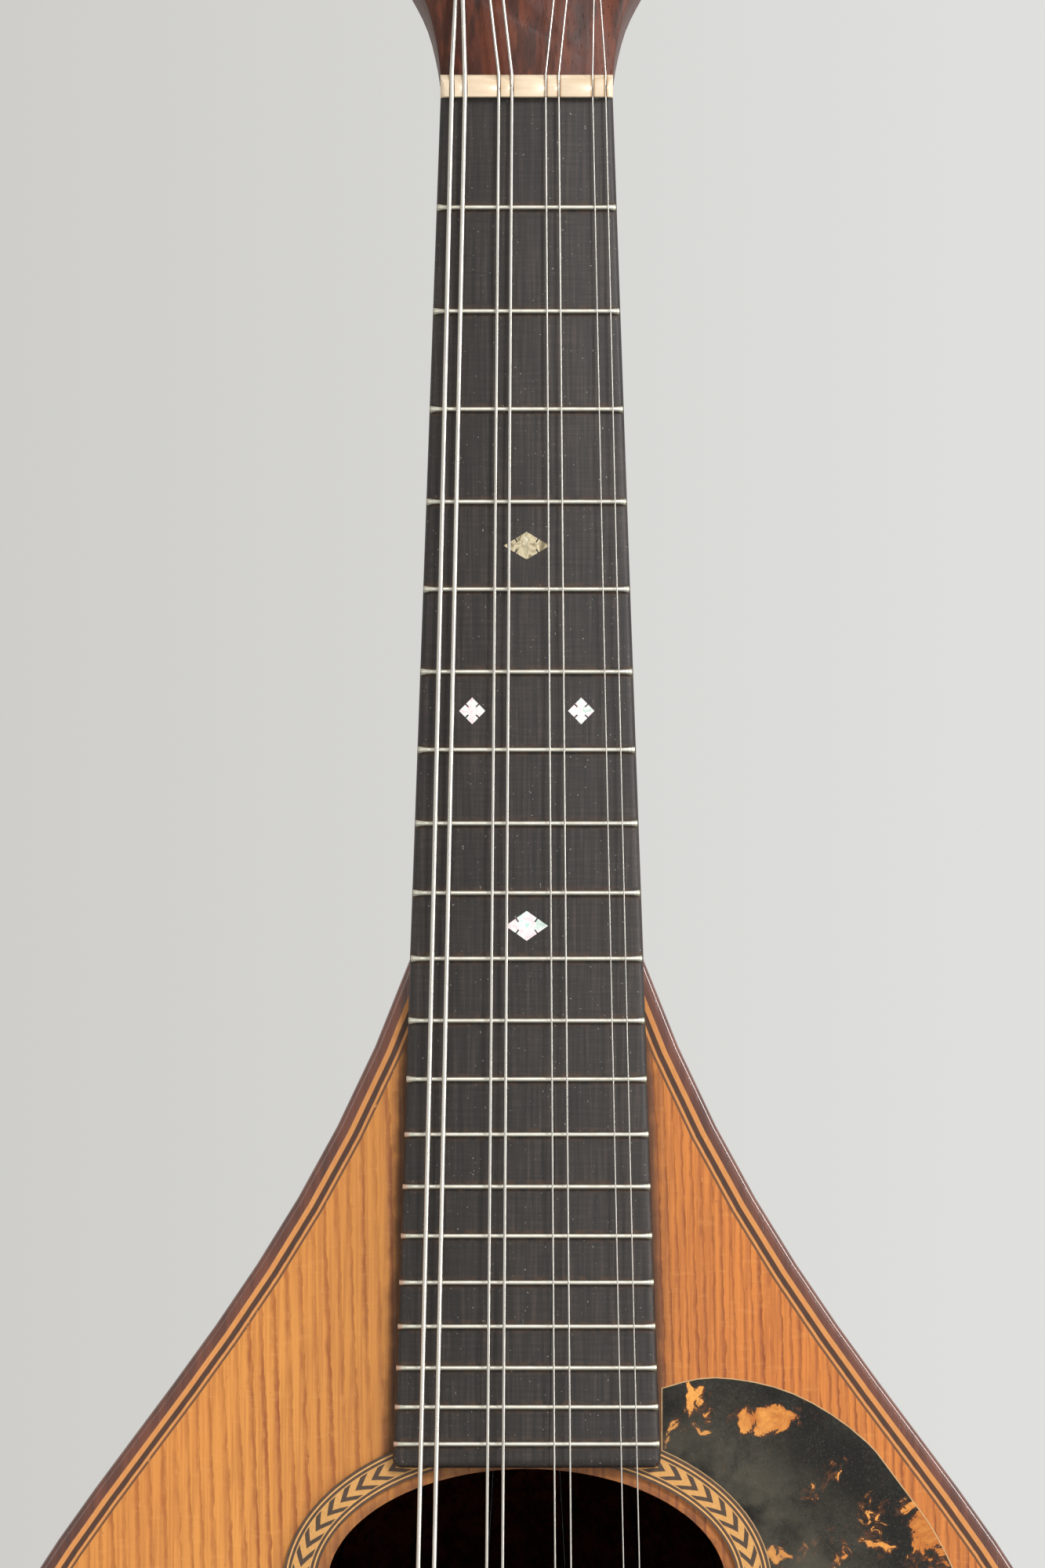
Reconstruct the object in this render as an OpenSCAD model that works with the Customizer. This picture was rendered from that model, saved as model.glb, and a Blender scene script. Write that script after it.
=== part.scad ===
// Eight-string bowl-back bouzouki with a short scale: a bowl of rosewood staves, a bound spruce
// top with an oval hole, an ebony fingerboard and open worm-gear tuners on a solid head.
// It is drawn lying face up: x runs across, y from the nut towards the head, z out of the top.
// A distance down the strings from the nut is called s, so y = -s. place() stands it up.

/* [Scale and neck] */
// Vibrating string length, from the nut's front face to the saddle
scale_len = 375; // [330:5:430]
// Number of frets
fret_n = 20; // [18:1:21]
// Fret at which the neck meets the body
body_fret = 10; // [9:1:12]
// Width of the fingerboard at the nut
nut_w = 33; // [30:0.1:40]
// Width of the fingerboard at its far end
board_end_w = 51.2; // [44:0.1:62]
// Thickness of the fingerboard
board_t = 5; // [4:0.1:6.5]
// Length of board past the last fret
board_tail = 4.6; // [2:0.1:8]
// Chamfer along the fingerboard's long edges
board_bevel = 1.3; // [0.4:0.1:2]
// Width of a fret
fret_w = 0.9; // [0.7:0.1:1.4]
// Height of a fret over the board
fret_h = 1.1; // [0.8:0.1:1.6]
// Length of the nut along the strings
nut_l = 4.4; // [3:0.1:6]
// Depth of the neck wood under the fingerboard at the nut
neck_t = 15; // [12:0.5:20]

/* [Body] */
// Widest width of the top
body_w = 234; // [200:1:285]
// Length from the neck joint to the widest place
upper_len = 194.5; // [165:0.5:235]
// Length from the widest place to the tail
lower_len = 139; // [115:1:170]
// Depth of the bowl under the top
bowl_depth = 148; // [120:1:178]
// Thickness of the soundboard
top_t = 2.6; // [2:0.1:3.5]
// Number of staves in the bowl
stave_n = 19; // [13:2:23]
// Thickness of a stave
stave_t = 1.6; // [1.2:0.1:2.5]
// Angle at which the top falls away behind the bridge
cant_angle = 4; // [1:0.5:7]

/* [Top trim] */
// Width of the rosewood binding at the top's edge
binding_w = 2.4; // [1.5:0.1:4]
// Width of the laminated purfling inside the binding
purfling_w = 2.9; // [1.5:0.1:4]
// Width of the sound hole across the strings
hole_w = 76.2; // [60:0.2:92]
// Length of the sound hole along the strings
hole_l = 44.6; // [36:0.2:54]
// Bare wood between the sound hole and the rosette
hole_rim = 2.2; // [1.5:0.1:4]
// Width of each laminated line beside the rosette band
line_w = 1.35; // [0.8:0.05:2]
// Width of the herringbone band
band_w = 3.6; // [2.5:0.1:5]
// Depth of the inlaid rosette
rosette_t = 1.2; // [0.8:0.1:1.5]
// Thickness of the flush pickguard
guard_t = 0.8; // [0.5:0.1:1.2]

/* [Bridge and tailpiece] */
// Length of the bridge across the top
bridge_w = 96; // [80:1:120]
// Width of the bridge along the strings
bridge_l = 10; // [8:0.5:13]
// Height of the ebony bridge
bridge_h = 7.6; // [6.5:0.1:8.5]
// Thickness of the bone saddle
saddle_l = 2.2; // [1.8:0.1:3]
// Width of the tailpiece plate
tailpiece_w = 46; // [42:1:56]
// Thickness of the tailpiece sheet
sheet_t = 1.2; // [0.8:0.1:1.6]
// Radius of the end pin's knob
knob_r = 5.5; // [4.5:0.1:7]

/* [Head] */
// Angle at which the head leans back
head_angle = 12; // [8:1:15]
// Widest width of the head
head_w = 60.8; // [56:0.2:70]
// Thickness of the head's wood
head_t = 14; // [12:0.5:16]
// Thickness of the rosewood plate on the head's face
headplate_t = 2; // [1:0.1:2.5]
// Distance of the first post from the nut
post_first = 24; // [22:0.5:30]
// Distance between posts
post_pitch = 23; // [22:0.5:28]
// Distance of the posts from the centre line
post_x = 15.8; // [15:0.1:18]

/* [Tuners] */
// Number of teeth on a gear
gear_teeth = 14; // [12:1:16]
// Pitch radius of a gear
gear_r = 4.9; // [4.5:0.1:5.4]
// Thickness of a gear
gear_t = 3.4; // [2.5:0.1:4]
// Pitch radius of a worm
worm_r = 2.2; // [2:0.1:2.5]
// Radius of the worm's shaft
shaft_r = 1.5; // [1.2:0.1:1.6]
// Length of a button along its shaft
button_l = 14; // [11:0.5:18]
// Radius of a button
button_r = 7; // [5.5:0.5:9]
// Radial clearance of a turning fit
run_gap = 0.05; // [0.02:0.01:0.08]

/* [Strings] */
// Distance between the outer courses at the nut
nut_spread = 26.9; // [24:0.1:30]
// Distance between the outer courses at the bridge
bridge_spread = 43.1; // [38:0.1:50]
// Gap between the two strings of a course at the nut
pair_nut = 2.5; // [2.2:0.1:3]
// Gap between the two strings of a course at the bridge
pair_bridge = 3.2; // [2.8:0.1:4]
// Height of the strings over the twelfth fret
action = 1.9; // [1.5:0.1:3]

/* [Hidden] */
$fn = 48;
glue_gap = 0.05;        // clearance that keeps glued pieces from overlapping
sheet_gap = 0.1;        // height at which the tailpiece lies over the top

// Strings, from bass to treble
gauge = [0.97, 0.61, 0.36, 0.25];
string_n = 8;
string_shift = 0.4;     // courses sit slightly to the treble side
nut_lift = 0.4;         // string height over the fret line at the nut
nut_fall = 0.5;         // drop of each nut slot towards the head
saddle_comp = 1.2;      // extra length for intonation
half_fret = 12;         // fret at which the action is measured

function fret_s(n) = scale_len * (1 - pow(2, -n / 12));
board_len = fret_s(fret_n) + board_tail;
function board_half(s) = nut_w / 2 + (board_end_w - nut_w) / 2 * s / board_len;

joint_s = fret_s(body_fret);
widest_s = joint_s + upper_len;
tail_s = widest_s + lower_len;
saddle_s = scale_len + saddle_comp;
bend_s = saddle_s + bridge_l / 2 + 3;
half_w = body_w / 2;
joint_half = board_half(joint_s) + 0.1;
bowl_ratio = bowl_depth / half_w;

// Outline of the right half of the top, as [x, s] from the neck joint to the tail: a cubic
// curve out to the widest place, then a quarter of an ellipse.
shoulder_angle = 20;
shoulder_pull = 0.515 * upper_len;
bout_pull = 0.43 * upper_len;
upper_steps = 16;
lower_steps = 14;
function cubic(a, b, c, d, t) =
    pow(1 - t, 3) * a + 3 * pow(1 - t, 2) * t * b + 3 * (1 - t) * t * t * c + pow(t, 3) * d;
function upper_pt(t) = cubic([joint_half, joint_s],
    [joint_half + shoulder_pull * sin(shoulder_angle), joint_s + shoulder_pull * cos(shoulder_angle)],
    [half_w, widest_s - bout_pull], [half_w, widest_s], t);
side = concat(
    [for (i = [0:upper_steps]) upper_pt(i / upper_steps)],
    [for (i = [1:lower_steps]) [half_w * cos(90 * i / lower_steps), widest_s + lower_len * sin(90 * i / lower_steps)]]);
last = len(side) - 1;
function unit(v) = v / norm(v);
function tangent(i) = i == 0 ? [sin(shoulder_angle), cos(shoulder_angle)]
    : i == last ? [-1, 0] : unit(side[i + 1] - side[i - 1]);
function inset(i, d) = side[i] - d * [tangent(i).y, -tangent(i).x];
function half_at(s) = lookup(s, [for (p = side) [p.y, p.x]]);

// The top behind the bridge slopes down from a line across it
cant_fall = tan(cant_angle);
function rim(p) = [p.x, -p.y, -max(0, p.y - bend_s) * cant_fall];

// Rosette and sound hole
hole_s = board_len + hole_l / 2 + 0.4;
inner_line = hole_rim;
band_in = inner_line + line_w;
band_out = band_in + band_w;
rosette_out = band_out + line_w;
edge_w = binding_w + purfling_w;

// Inlays on the fingerboard, each a rhombus with nicked sides: [fret, x, width, length]
inlay_t = 1.5;
inlay_list = [[5, 0, 8.8, 5.3], [7, -10.4, 5, 5.1], [7, 10.4, 5, 5.1], [10, 0, 8.1, 5.7]];

// Head and tuners, in the head's own frame: v up the head from the nut, w out of its face
post_n = 4;
head_len = post_first + (post_n - 1) * post_pitch + 28;
function post_v(k) = post_first + k * post_pitch;
post_r = 2.9;
waist_r = 2.1;
neck_r = 2.4;
post_top = 11.5;
bush_r = 3.6;
bush_flange = 1;
plate_t = 1.2;
plate_half = 5.5;
tooth_h = 0.45;
mesh_gap = 0.15;
worm_v = gear_r + worm_r + mesh_gap;
worm_l = 6.4;
thread_pitch = 2 * PI * gear_r / gear_teeth;
gear_w = -(head_t + plate_t + worm_r + tooth_h + 0.45);
lug_half = 2.3;
lug_t = 1.6;
lug_in = post_x - plate_half + 0.2;
lug_out = post_x + plate_half - lug_t - 0.2;
shaft_out = head_w / 2 + 3;
screw_r = 1.2;
screw_v = worm_v + 5.8;
coil_w = [6.2, 8, 7.5, 7.5];    // height at which each post's winding starts
coil_turns = 2.25;
wind_gap = 0.1;         // room between a winding and the post that turns in it
function head_pt(p) = [p.x, nut_l + p.y * cos(head_angle) + p.z * sin(head_angle),
    -p.y * sin(head_angle) + p.z * cos(head_angle)];

// Tailpiece and end pin
function string_end(j) = [hook_x(j), -hook_s, 3.2 - (hook_s - bend_s) * cant_fall];
hook_s = tail_s - 21;
hook_spread = 31;
hook_r = 0.8;
hook_top = 4.6;
cover_h = 8.5;
cover_wall = 0.8;
leaf_s = tail_s + 2.6;
leaf_h = 30;
clasp_t = 1.8;
clasp_gap = 0.2;        // bed of glue between the clasp and the flat staves
clasp_half = 74;
clasp_h = 40;
pin_depth = 15;
pin_r = 3.4;
pin_neck = 6;
knob_l = 4;
stave_end = 18;         // half width at which the staves stop, on the tail block
tail_y = rim([0, tail_s]).y;
pin_z = rim([0, tail_s]).z - pin_depth;
knob_y = tail_y - clasp_t - sheet_t - 0.9 - pin_neck - knob_l / 2;

// String seats
seat_z = board_t + fret_h + nut_lift;
saddle_z = seat_z + (board_t + fret_h + action - seat_z) / fret_s(half_fret) * saddle_s;
function string_r(j) = gauge[floor(j / 2)] / 2;
function string_x(j, spread, pair) =
    (floor(j / 2) - 1.5) * spread / 3 + (j % 2 - 0.5) * pair + string_shift;
function nut_x(j) = string_x(j, nut_spread, pair_nut);
function saddle_x(j) = string_x(j, bridge_spread, pair_bridge);
function hook_x(j) = string_x(j, hook_spread, pair_bridge) - string_shift;
function post_k(j) = j < post_n ? j : string_n - 1 - j;
function post_side(j) = j < post_n ? -1 : 1;

// ---- Shared shapes ----

// Stands the instrument on its tail, face towards -Y, with the knob at the origin
module place() rotate([90, 0, 0]) translate([0, -knob_y, -pin_z]) children();

// A closed solid through a list of rings with equal counts of points
module loft(rings) {
    n = len(rings[0]);
    points = [for (r = rings) each r];
    walls = [for (i = [0:len(rings) - 2], j = [0:n - 1]) let (a = i * n + j, b = i * n + (j + 1) % n)
        each [[a, b, b + n], [a, b + n, a + n]]];
    top = (len(rings) - 1) * n;
    caps = [for (j = [1:n - 2]) each [[0, j + 1, j], [top, top + j, top + j + 1]]];
    faces = concat(walls, caps);
    sixth = [for (f = faces) points[f[0]] * cross(points[f[1]], points[f[2]])];
    outward = sixth * [for (f = faces) 1] < 0;
    polyhedron(points, outward ? faces : [for (f = faces) [f[2], f[1], f[0]]]);
}

// A round tube of a few sides along a path
module tube(path, r, sides = 6) {
    end = len(path) - 1;
    loft([for (i = [0:end]) let (t = unit(path[min(end, i + 1)] - path[max(0, i - 1)]),
        a = unit(cross(t, [0, 0, 1])), b = cross(a, t))
        [for (k = [0:sides - 1]) path[i] + r * (cos(360 * k / sides) * a + sin(360 * k / sides) * b)]]);
}

// Smooth curve through control points
function through(a, b, c, d, t) = 0.5 * (2 * b + (c - a) * t + (2 * a - 5 * b + 4 * c - d) * t * t
    + (3 * b - a - 3 * c + d) * t * t * t);
function smooth(p, n) = let (e = len(p) - 1) concat([for (i = [0:e - 1], k = [0:n - 1])
    through(p[max(0, i - 1)], p[i], p[i + 1], p[min(e, i + 2)], k / n)], [p[e]]);

// The top's outline pulled in by d; past runs it on beyond the neck joint
module top_shape(d, past = 0) {
    edge_x = joint_half - d / cos(shoulder_angle);
    right = concat([[edge_x, past - joint_s]],
        [for (i = [0:last]) let (p = inset(i, d)) if (p.y > joint_s + 0.2) [max(0, p.x), -p.y]]);
    polygon(concat(right, [for (i = [len(right) - 2:-1:0]) [-right[i].x, right[i].y]]));
}

module ellipse(grow) {
    steps = 96;
    polygon([for (i = [0:steps - 1])
        [(hole_w / 2 + grow) * cos(360 * i / steps), (hole_l / 2 + grow) * sin(360 * i / steps) - hole_s]]);
}

module ring(in, out) difference() {
    ellipse(out);
    ellipse(in);
}

module board_shape() polygon([[-nut_w / 2, 0], [nut_w / 2, 0], [board_end_w / 2, -board_len],
    [-board_end_w / 2, -board_len]]);

// Tilts what is drawn on the flat down behind the bridge
module tail_frame() translate([0, -bend_s, 0]) rotate([cant_angle, 0, 0]) translate([0, bend_s, 0]) children();

// A layer of the top, flat as far as the bridge and falling away behind it, cut to its children's outline
module top_layer(thick) {
    near = 20;
    far = tail_s + 20;
    drop = (far - bend_s) * cant_fall;
    intersection() {
        translate([-body_w, 0, 0]) rotate([90, 0, 90]) linear_extrude(2 * body_w)
            polygon([[near, 0], [-bend_s, 0], [-far, -drop], [-far, -drop - thick], [-bend_s, -thick],
                [near, -thick]]);
        translate([0, 0, -2 * drop - thick]) linear_extrude(3 * drop + thick) children();
    }
}

module head_frame() translate([0, nut_l, 0]) rotate([-head_angle, 0, 0]) children();

module at_posts() for (side_x = [-1, 1], k = [0:post_n - 1]) translate([side_x * post_x, post_v(k), 0]) children();

// A point on the bowl's surface: x across, depth under the top's lower face, off outwards
function bowl_s(x, depth) =
    widest_s + lower_len * sqrt(1 - (x * x + pow(depth / bowl_ratio, 2)) / (half_w * half_w));
function bowl_skin(x, depth, off) = let (p = rim([x, bowl_s(x, depth) + off])) [x, p.y, p.z - top_t - depth];

// Ring of a D section: flat top at z, half width w, straight sides of edge, then depth d of curve
function d_ring(w, y, z, edge, d, power = 1) = concat([[w, y, z]],
    [for (a = [0:15:180]) [w * sign(cos(a)) * pow(abs(cos(a)), power), y, z - edge - d * pow(sin(a), power)]],
    [[-w, y, z]]);

// Solid that fills the bowl between two places along it
module bowl_plug(from, to, steps, gap) loft([for (i = [0:steps]) let (s = from + (to - from) * i / steps,
    h = half_at(s + (s > widest_s ? gap : 0)) * cos(90 / stave_n) - gap, p = rim([0, s]))
    d_ring(h, p.y, p.z - top_t - glue_gap, 0.4, bowl_ratio * h - 0.4)]);

// ---- Neck and head ----

module neck() color("saddlebrown") place() {
    end_d = head_t / cos(head_angle);
    joint_d = top_t + bowl_ratio * joint_half;
    swell = 0.015;                  // growth of the neck's depth along its length
    slope = bowl_ratio * tan(shoulder_angle) - swell;
    heel_d = joint_d - neck_t - swell * joint_s;
    heel_l = 2 * heel_d / slope;    // length over which the heel curves into the bowl
    stations = [-nut_l, 0, 6, 14, 24, 50, 80, 105, 120, 132, 142, 150, 158];
    loft([for (s = concat([for (q = stations) q * (q > 0 ? joint_s / 165 : 1)], [joint_s]))
        let (start = max(0, s + heel_l - joint_s), head = max(0, 1 - max(0, s + nut_l) / 24),
            d = neck_t + swell * max(0, s) + heel_d * pow(start / heel_l, 2))
        d_ring(board_half(max(0, s)) + 0.1 * s / joint_s * sign(max(0, s)), -s, 0, top_t,
            d * (1 - head) + end_d * head - top_t, 1 - 0.65 * head)]);
}

flare = nut_w / 2;
full = head_w / 2 - nut_w / 2;
head_side = smooth([[flare, 0], [flare + 0.05 * full, 6], [flare + 0.19 * full, 14],
    [flare + 0.43 * full, 21], [flare + 0.68 * full, 26.5], [flare + 0.83 * full, 32],
    [flare + 0.88 * full, 40], [flare + 0.9 * full, head_len / 2], [flare + 0.94 * full, head_len - 40],
    [flare + full, head_len - 20], [flare + full, head_len - 13], [flare + 0.72 * full, head_len - 6],
    [flare + 0.2 * full, head_len - 4.5], [flare * 0.62, head_len - 6], [flare * 0.3, head_len - 1.5],
    [0, head_len]], 3);

module head_shape() polygon(concat(head_side, [for (i = [len(head_side) - 2:-1:0])
    [-head_side[i].x, head_side[i].y]]));

// Everything on the head's side of the nut's back face
module beyond_nut() intersection() {
    children();
    translate([-head_w, nut_l, -head_len]) cube([2 * head_w, 2 * head_len, 2 * head_len]);
}

module head_slab(low, high) head_frame() translate([0, 0, low]) linear_extrude(high - low) difference() {
    union() {
        head_shape();
        translate([-nut_w / 2, -5]) square([nut_w, 5.01]);
    }
    at_posts() circle(bush_r);
}

module headstock() color("saddlebrown") place() difference() {
    beyond_nut() head_slab(-head_t, 0);
    head_frame() at_posts() translate([0, screw_v, -head_t - 1]) cylinder(r = screw_r, h = 9);
}

module headplate() color("maroon") place() beyond_nut() head_slab(0, headplate_t);

module fret_slot(n, wide, deep) translate([-board_end_w, -fret_s(n) - wide / 2, board_t - deep])
    cube([2 * board_end_w, wide, deep + 1]);

tang_w = 0.5;
tang_h = 1.6;

module edge_bevel() {
    lean = atan((board_end_w - nut_w) / 2 / board_len);
    for (m = [0, 1]) mirror([m, 0, 0]) translate([nut_w / 2, 1, board_t]) rotate([0, 0, lean])
        rotate([0, -45, 0]) translate([-board_bevel / sqrt(2), -2 * board_len, -5])
            cube([10, 4 * board_len, 10]);
}

module inlay_shape(width, length) {
    nick = 0.28;
    difference() {
        polygon([[width / 2, 0], [0, length / 2], [-width / 2, 0], [0, -length / 2]]);
        for (mx = [-1, 1], my = [-1, 1]) translate([mx * width / 4, my * length / 4])
            rotate([0, 0, atan2(my * width, mx * length)]) translate([-0.15 * length, -nick / 2])
                square([length, nick]);
    }
}

module each_inlay() for (m = inlay_list)
    translate([m[1], -(fret_s(m[0] - 1) + fret_s(m[0])) / 2]) inlay_shape(m[2], m[3]);

module fingerboard() color([0.2, 0.17, 0.15]) place() difference() {
    linear_extrude(board_t) board_shape();
    edge_bevel();
    for (n = [1:fret_n]) fret_slot(n, tang_w, tang_h);
    translate([0, 0, board_t - inlay_t]) linear_extrude(inlay_t + 1) each_inlay();
}

module inlays() color("ivory") place() translate([0, 0, board_t - inlay_t]) linear_extrude(inlay_t) each_inlay();

module frets() color("silver") place() for (n = [1:fret_n]) {
    half = board_half(fret_s(n)) - board_bevel / 2;
    translate([-half, -fret_s(n), board_t]) rotate([90, 0, 90]) linear_extrude(2 * half) union() {
        translate([-tang_w / 2, -tang_h]) square([tang_w, tang_h + 0.1]);
        translate([-fret_w / 2, 0]) square([fret_w, fret_h - fret_w / 2]);
        translate([0, fret_h - fret_w / 2]) circle(fret_w / 2);
    }
}

module nut() color("ivory") place() {
    nut_top = seat_z + 0.5;
    corner = 1.6;
    slope = atan(nut_fall / nut_l);
    difference() {
        intersection() {
            translate([0, nut_l - glue_gap, 0]) rotate([90, 0, 0]) linear_extrude(nut_l - 2 * glue_gap) union() {
                translate([-nut_w / 2, 0]) square([nut_w, nut_top - corner]);
                translate([-nut_w / 2 + corner, 0]) square([nut_w - 2 * corner, nut_top]);
                for (m = [-1, 1]) translate([m * (nut_w / 2 - corner), nut_top - corner]) circle(corner);
            }
            translate([-nut_w, 0, 0]) rotate([90, 0, 90]) linear_extrude(2 * nut_w)
                polygon([[0, 0], [nut_l, 0], [nut_l, nut_top - 1.6], [nut_l - 1.2, nut_top - 0.5],
                    [1.6, nut_top], [0, nut_top]]);
        }
        for (j = [0:string_n - 1]) translate([nut_x(j), 0, seat_z + string_r(j)]) rotate([-90 - slope, 0, 0]) {
            translate([0, 0, -2]) cylinder(r = string_r(j) + 0.04, h = nut_l + 5);
            translate([-string_r(j) - 0.04, -4, -2]) cube([2 * string_r(j) + 0.08, 4, nut_l + 5]);
        }
    }
}

// ---- Top ----

guard_margin = 3;       // least spruce between the guard and the purfling
guard_edge = smooth([[board_half(240), -hole_s + 37.5], [36, -hole_s + 39.8], [51, -hole_s + 36.7],
    [65, -hole_s + 27.5], [76, -hole_s + 13.5], [83, -hole_s - 1], [84.5, -hole_s - 16],
    [78, -hole_s - 30], [63, -hole_s - 36.5], [44, -hole_s - 34], [29, -hole_s - 26], [18, -hole_s - 18]], 4);

module guard_shape(gap) difference() {
    intersection() {
        polygon(concat(guard_edge, [[0, -hole_s]]));
        top_shape(edge_w + guard_margin);
    }
    ellipse(rosette_out + gap);
    translate([-board_end_w / 2 - 10, -board_len]) square([board_end_w + 10 + 2 * gap, 100]);
}

module soundboard() color("peru") place() difference() {
    top_layer(top_t) top_shape(edge_w);
    translate([0, 0, -top_t - 1]) linear_extrude(top_t + 2) ellipse(0);
    translate([0, 0, -rosette_t]) linear_extrude(top_t) ring(hole_rim, rosette_out);
    translate([0, 0, -guard_t]) linear_extrude(top_t) guard_shape(0);
}

module rosette_band() color("tan") place() translate([0, 0, -rosette_t]) linear_extrude(rosette_t)
    ring(band_in, band_out);

module rosette_lines() color("wheat") place() translate([0, 0, -rosette_t]) linear_extrude(rosette_t) {
    ring(inner_line, band_in);
    ring(band_out, rosette_out);
}

module pickguard() color("dimgray") place() translate([0, 0, -guard_t]) linear_extrude(guard_t)
    guard_shape(glue_gap);

module rim_strip(out, in) top_layer(top_t) difference() {
    top_shape(out);
    top_shape(in, 1);
}

module binding() color("maroon") place() rim_strip(0, binding_w);

module purfling() color("wheat") place() rim_strip(binding_w, edge_w);

// ---- Inside the body ----

block_l = 26;
block_gap = stave_t + 0.15;
lining_w = 5;
lining_h = 6;

module braces() color("burlywood") place() {
    brace_w = 6;
    brace_h = 9;
    for (s = [hole_s - hole_l / 2 - rosette_out - brace_w, hole_s + hole_l / 2 + rosette_out + brace_w,
            saddle_s - 2]) {
        half = min(half_at(s - brace_w / 2), half_at(s + brace_w / 2)) - stave_t - lining_w - 1.2;
        translate([0, brace_w / 2 - s, 0]) rotate([90, 0, 0]) linear_extrude(brace_w)
            polygon([[-half, -top_t], [half, -top_t], [half, -top_t - 3], [half - 18, -top_t - brace_h],
                [18 - half, -top_t - brace_h], [-half, -top_t - 3]]);
    }
}

module head_block() color("burlywood") place() bowl_plug(joint_s + glue_gap, joint_s + block_l, 4, block_gap);

module tail_block() color("burlywood") place() {
    half = 32;
    difference() {
        intersection() {
            bowl_plug(tail_s - 22, tail_s - block_gap - 0.6, 8, block_gap);
            translate([-half, -tail_s - 5, -top_t - 62]) cube([2 * half, 40, 62]);
        }
        translate([0, tail_y, pin_z]) rotate([90, 0, 0]) cylinder(r = pin_r, h = 60, center = true);
        tail_frame() for (m = [-1, 1]) translate([m * leaf_screw_x, 0, leaf_screw_z]) rotate([90, 0, 0])
            cylinder(r = screw_r, h = tail_s + 5);
    }
}

// Point of the stave surface at outline place i and angle a round the bowl, moved in by depth
function stave_pt(i, a, depth) = let (t = tangent(i), p = rim(side[i]),
    n = unit([bowl_ratio * cos(a) * t.y, bowl_ratio * t.x, -sin(a) * t.y]))
    [side[i].x * cos(a), p.y, p.z - top_t - bowl_ratio * side[i].x * sin(a)] - depth * n;

stave_rows = [for (i = [0:last]) if (i <= upper_steps || side[i].x > stave_end) i];

// Half of the glued seam between two staves, as an angle round the bowl at outline place i
function seam_turn(i) = 90 / PI * glue_gap / side[i].x;

module bowl_staves() color("brown") place() for (k = [0:stave_n - 1])
    loft([for (i = stave_rows) let (from = 180 * k / stave_n + seam_turn(i),
        to = 180 * (k + 1) / stave_n - seam_turn(i))
        [stave_pt(i, from, 0), stave_pt(i, to, 0), stave_pt(i, to, stave_t), stave_pt(i, from, stave_t)]]);

module linings() color("burlywood") place() for (m = [0, 1]) mirror([m, 0, 0])
    loft([for (i = stave_rows) if (side[i].y > joint_s + block_l + 3 && side[i].y < tail_s - 26)
        let (n = [tangent(i).y, tangent(i).x, 0], upper = stave_pt(i, 0, stave_t + glue_gap) - [0, 0, glue_gap],
            seam = stave_pt(i, 180 / stave_n, stave_t + glue_gap),
            lower = upper + (seam - upper) * min(1, lining_h / (upper.z - seam.z)))
        [upper, lower, [lower.x, lower.y, lower.z] - 1.2 * n, upper - lining_w * n]]);

module tail_clasp() color("maroon") place() {
    columns = 14;
    rows = 5;
    difference() {
        loft([for (i = [0:columns]) let (x = clasp_half * (2 * i / columns - 1),
            deep = clasp_h * (1 - 0.55 * pow(abs(x) / clasp_half, 2)))
            concat([for (r = [0:rows]) bowl_skin(x, deep * r / rows, clasp_gap)],
                [for (r = [rows:-1:0]) bowl_skin(x, deep * r / rows, clasp_t)])]);
        translate([0, tail_y, pin_z]) rotate([90, 0, 0]) cylinder(r = pin_r + glue_gap, h = 60, center = true);
        tail_frame() for (m = [-1, 1]) translate([m * leaf_screw_x, 0, leaf_screw_z]) rotate([90, 0, 0])
            cylinder(r = screw_r, h = tail_s + 9);
    }
}

// ---- Bridge and tailpiece ----

saddle_deep = 2.4;      // depth of the bridge's slot

module bridge() color([0.15, 0.1, 0.08]) place() difference() {
    translate([0, bridge_l / 2 - saddle_s, 0]) rotate([90, 0, 0]) linear_extrude(bridge_l)
        polygon([[-bridge_w / 2, 0], [-bridge_w / 2, 2.2], [-bridge_w / 2 + 12, 3.2],
            [-bridge_spread / 2 - 8, bridge_h], [bridge_spread / 2 + 8, bridge_h],
            [bridge_w / 2 - 12, 3.2], [bridge_w / 2, 2.2], [bridge_w / 2, 0],
            [bridge_w / 2 - 28, 0], [bridge_w / 2 - 32, 1.8], [-bridge_w / 2 + 32, 1.8],
            [-bridge_w / 2 + 28, 0]]);
    translate([-bridge_w, -saddle_s - saddle_l / 2, bridge_h - saddle_deep]) cube([2 * bridge_w, saddle_l, 10]);
    for (m = [-1, 1]) translate([-bridge_w, -saddle_s + m * bridge_l / 2, bridge_h]) rotate([45, 0, 0])
        cube([2 * bridge_w, 3, 3], center = false);
}

module saddle() color("ivory") place() difference() {
    half = bridge_spread / 2 + 6;
    translate([-half, -saddle_s - saddle_l / 2, bridge_h - saddle_deep])
        cube([2 * half, saddle_l, saddle_z + 0.15 - bridge_h + saddle_deep]);
    for (j = [0:string_n - 1]) translate([saddle_x(j), -saddle_s, saddle_z + string_r(j)]) rotate([90, 0, 0])
        cylinder(r = string_r(j) + 0.05, h = 20, center = true);
}

leaf_screw_x = 8.5;
leaf_screw_z = -25;

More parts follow.
